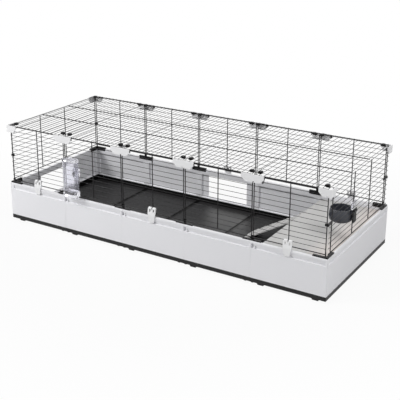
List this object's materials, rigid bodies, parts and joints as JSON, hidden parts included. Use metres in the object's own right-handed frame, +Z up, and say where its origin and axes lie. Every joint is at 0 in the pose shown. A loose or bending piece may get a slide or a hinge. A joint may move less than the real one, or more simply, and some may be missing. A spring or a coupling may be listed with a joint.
{
  "type": "rabbit hutch",
  "caption": "Long modular indoor rabbit hutch: white panel walls on black floor trays, black wire sides and lift-up wire roof, with platform, ramp, bottle and bowl.",
  "frame": {"origin": "middle of the hutch's bounding box, on the floor under its feet", "axes": "+X along the hutch to the end with the platform, +Y to the rear, +Z up"},
  "size_m": [1.776, 0.7646, 0.521],
  "materials": {
    "black_tray": "satin moulded plastic",
    "black_fitting": "satin moulded plastic",
    "white_wall": "satin moulded plastic",
    "white_fitting": "satin moulded plastic",
    "black_wire": "glossy coating",
    "cream_platform": "fine grained plastic",
    "clear_plastic": "clear",
    "smoky_plastic": "smoky translucent"
  },
  "bodies": {
    "base": {"floor_tray_1": "black_tray", "front_wall_1": "white_wall", "rear_wall_1": "white_wall", "floor_tray_2": "black_tray", "front_wall_2": "white_wall", "rear_wall_2": "white_wall", "front_mesh_2": "black_wire", "rear_mesh_2": "black_wire", "floor_tray_3": "black_tray", "front_wall_3": "white_wall", "rear_wall_3": "white_wall", "floor_tray_4": "black_tray", "front_wall_4": "white_wall", "rear_wall_4": "white_wall", "front_mesh_4": "black_wire", "rear_mesh_4": "black_wire", "floor_tray_5": "black_tray", "front_wall_5": "white_wall", "rear_wall_5": "white_wall", "left_end_wall": "white_wall", "right_end_wall": "white_wall", "left_end_mesh": "black_wire", "right_end_mesh": "black_wire", "top_connectors": "white_fitting", "corner_top_connectors": "white_fitting", "connector_end_hooks": "black_fitting", "rim_connectors": "black_fitting", "corner_mid_clips": "black_fitting", "rim_corner_brackets": "black_fitting", "platform": "cream_platform", "bottle_body": "clear_plastic", "bottle_base": "clear_plastic", "drinking_valve": "clear_plastic", "bowl_bracket": "black_fitting", "bowl_hook": "clear_plastic"},
    "roof_1": {"roof_panel_1": "black_wire", "roof_caps_1": "black_fitting"},
    "roof_2": {"roof_panel_2": "black_wire", "roof_caps_2": "black_fitting"},
    "roof_3": {"roof_panel_3": "black_wire", "roof_caps_3": "black_fitting"},
    "roof_4": {"roof_panel_4": "black_wire", "roof_caps_4": "black_fitting"},
    "roof_5": {"roof_panel_5": "black_wire", "roof_caps_5": "black_fitting"},
    "front_door_1": {"front_mesh_1": "black_wire"},
    "front_catch_1": {"front_clip_1": "white_fitting"},
    "front_door_3": {"front_mesh_3": "black_wire"},
    "front_catch_3": {"front_clip_3": "white_fitting"},
    "front_door_5": {"front_mesh_5": "black_wire"},
    "front_catch_5": {"front_clip_5": "white_fitting"},
    "rear_door_1": {"rear_mesh_1": "black_wire"},
    "rear_catch_1": {"rear_clip_1": "white_fitting"},
    "rear_door_3": {"rear_mesh_3": "black_wire"},
    "rear_catch_3": {"rear_clip_3": "white_fitting"},
    "rear_door_5": {"rear_mesh_5": "black_wire"},
    "rear_catch_5": {"rear_clip_5": "white_fitting"},
    "ramp": {"ramp": "cream_platform"},
    "bowl": {"food_bowl": "smoky_plastic"},
    "lid": {"bottle_lid": "clear_plastic"}
  },
  "joints": [
    {"name": "roof_1_hinge", "type": "hinge", "parent": "base", "child": "roof_1", "pos_m": [-0.7, 0.37075, 0.509], "axis": [-1, 0, 0], "range_deg": [0, 95]},
    {"name": "roof_2_hinge", "type": "hinge", "parent": "base", "child": "roof_2", "pos_m": [-0.35, 0.37075, 0.509], "axis": [-1, 0, 0], "range_deg": [0, 95]},
    {"name": "roof_3_hinge", "type": "hinge", "parent": "base", "child": "roof_3", "pos_m": [0, 0.37075, 0.509], "axis": [-1, 0, 0], "range_deg": [0, 95]},
    {"name": "roof_4_hinge", "type": "hinge", "parent": "base", "child": "roof_4", "pos_m": [0.35, 0.37075, 0.509], "axis": [-1, 0, 0], "range_deg": [0, 95]},
    {"name": "roof_5_hinge", "type": "hinge", "parent": "base", "child": "roof_5", "pos_m": [0.7, 0.37075, 0.509], "axis": [-1, 0, 0], "range_deg": [0, 95]},
    {"name": "front_door_1_hinge", "type": "hinge", "parent": "base", "child": "front_door_1", "pos_m": [-0.7, -0.3331, 0.482], "axis": [-1, 0, 0], "range_deg": [0, 95]},
    {"name": "front_catch_1_hinge", "type": "hinge", "parent": "front_door_1", "child": "front_catch_1", "pos_m": [-0.7, -0.3331, 0.24382], "axis": [-1, 0, 0], "range_deg": [0, 60]},
    {"name": "front_door_3_hinge", "type": "hinge", "parent": "base", "child": "front_door_3", "pos_m": [0, -0.3331, 0.482], "axis": [-1, 0, 0], "range_deg": [0, 95]},
    {"name": "front_catch_3_hinge", "type": "hinge", "parent": "front_door_3", "child": "front_catch_3", "pos_m": [0, -0.3331, 0.24382], "axis": [-1, 0, 0], "range_deg": [0, 60]},
    {"name": "front_door_5_hinge", "type": "hinge", "parent": "base", "child": "front_door_5", "pos_m": [0.7, -0.3331, 0.482], "axis": [-1, 0, 0], "range_deg": [0, 95]},
    {"name": "front_catch_5_hinge", "type": "hinge", "parent": "front_door_5", "child": "front_catch_5", "pos_m": [0.7, -0.3331, 0.24382], "axis": [-1, 0, 0], "range_deg": [0, 60]},
    {"name": "rear_door_1_hinge", "type": "hinge", "parent": "base", "child": "rear_door_1", "pos_m": [-0.7, 0.3696, 0.482], "axis": [1, 0, 0], "range_deg": [0, 95]},
    {"name": "rear_catch_1_hinge", "type": "hinge", "parent": "rear_door_1", "child": "rear_catch_1", "pos_m": [-0.7, 0.3696, 0.24382], "axis": [1, 0, 0], "range_deg": [0, 60]},
    {"name": "rear_door_3_hinge", "type": "hinge", "parent": "base", "child": "rear_door_3", "pos_m": [0, 0.3696, 0.482], "axis": [1, 0, 0], "range_deg": [0, 95]},
    {"name": "rear_catch_3_hinge", "type": "hinge", "parent": "rear_door_3", "child": "rear_catch_3", "pos_m": [0, 0.3696, 0.24382], "axis": [1, 0, 0], "range_deg": [0, 60]},
    {"name": "rear_door_5_hinge", "type": "hinge", "parent": "base", "child": "rear_door_5", "pos_m": [0.7, 0.3696, 0.482], "axis": [1, 0, 0], "range_deg": [0, 95]},
    {"name": "rear_catch_5_hinge", "type": "hinge", "parent": "rear_door_5", "child": "rear_catch_5", "pos_m": [0.7, 0.3696, 0.24382], "axis": [1, 0, 0], "range_deg": [0, 60]},
    {"name": "ramp_hinge", "type": "hinge", "parent": "base", "child": "ramp", "pos_m": [0.5455, 0.08825, 0.1735], "axis": [0, 1, 0], "range_deg": [0, 45]},
    {"name": "bowl_lift", "type": "slide", "parent": "base", "child": "bowl", "axis": [0, 0, 1], "range_m": [0, 0.04]},
    {"name": "bottle_lid_lift", "type": "slide", "parent": "base", "child": "lid", "axis": [0, 0, 1], "range_m": [0, 0.03]}
  ]
}
